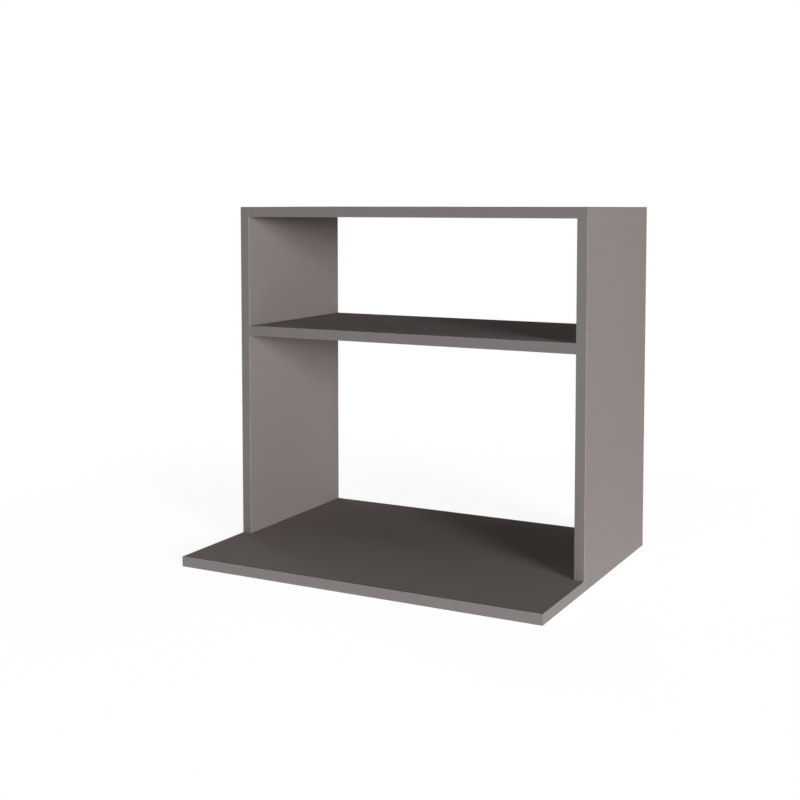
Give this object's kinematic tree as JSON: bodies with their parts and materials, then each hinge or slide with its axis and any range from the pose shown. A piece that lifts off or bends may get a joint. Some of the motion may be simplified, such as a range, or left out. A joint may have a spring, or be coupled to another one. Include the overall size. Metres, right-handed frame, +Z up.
{
  "type": "microwave cabinet",
  "caption": "Open wall cabinet with a deep bottom panel for a microwave oven, two sides, a top panel and a fixed shelf, without doors or a back panel.",
  "frame": {"origin": "centre of the outline's footprint at the underside of the bottom panel", "axes": "+X along the width to the right of a person facing the open front, +Y to the wall, +Z up"},
  "size_m": [0.6, 0.453, 0.56],
  "materials": {
    "board": "chipboard faced with matt warm grey melamine",
    "edge_band": "matt warm grey edge band",
    "zinc": "bright die-cast zinc",
    "plated_steel": "zinc-plated steel",
    "dowel_wood": "raw beech",
    "cap_plastic": "moulded plastic, matt"
  },
  "bodies": {
    "root": {"left_side_panel": "board", "right_side_panel": "board", "top_panel": "board", "shelf_panel": "board", "bottom_panel": "board", "left_side_front_band": "edge_band", "left_side_rear_band": "edge_band", "left_side_top_band": "edge_band", "right_side_front_band": "edge_band", "right_side_rear_band": "edge_band", "right_side_top_band": "edge_band", "top_panel_front_band": "edge_band", "top_panel_rear_band": "edge_band", "shelf_front_band": "edge_band", "shelf_rear_band": "edge_band", "bottom_front_band": "edge_band", "bottom_rear_band": "edge_band", "bottom_left_band": "edge_band", "bottom_right_band": "edge_band", "top_cam_housings": "zinc", "top_cam_bolts": "plated_steel", "top_dowels": "dowel_wood", "shelf_cam_housings": "zinc", "shelf_cam_bolts": "plated_steel", "shelf_dowels": "dowel_wood", "shelf_cam_caps": "cap_plastic", "bottom_screws": "plated_steel", "bottom_screw_plugs": "cap_plastic", "bottom_dowels": "dowel_wood", "left_hanger_plate": "plated_steel", "right_hanger_plate": "plated_steel", "left_hanger_screws": "plated_steel", "right_hanger_screws": "plated_steel"}
  },
  "joints": []
}
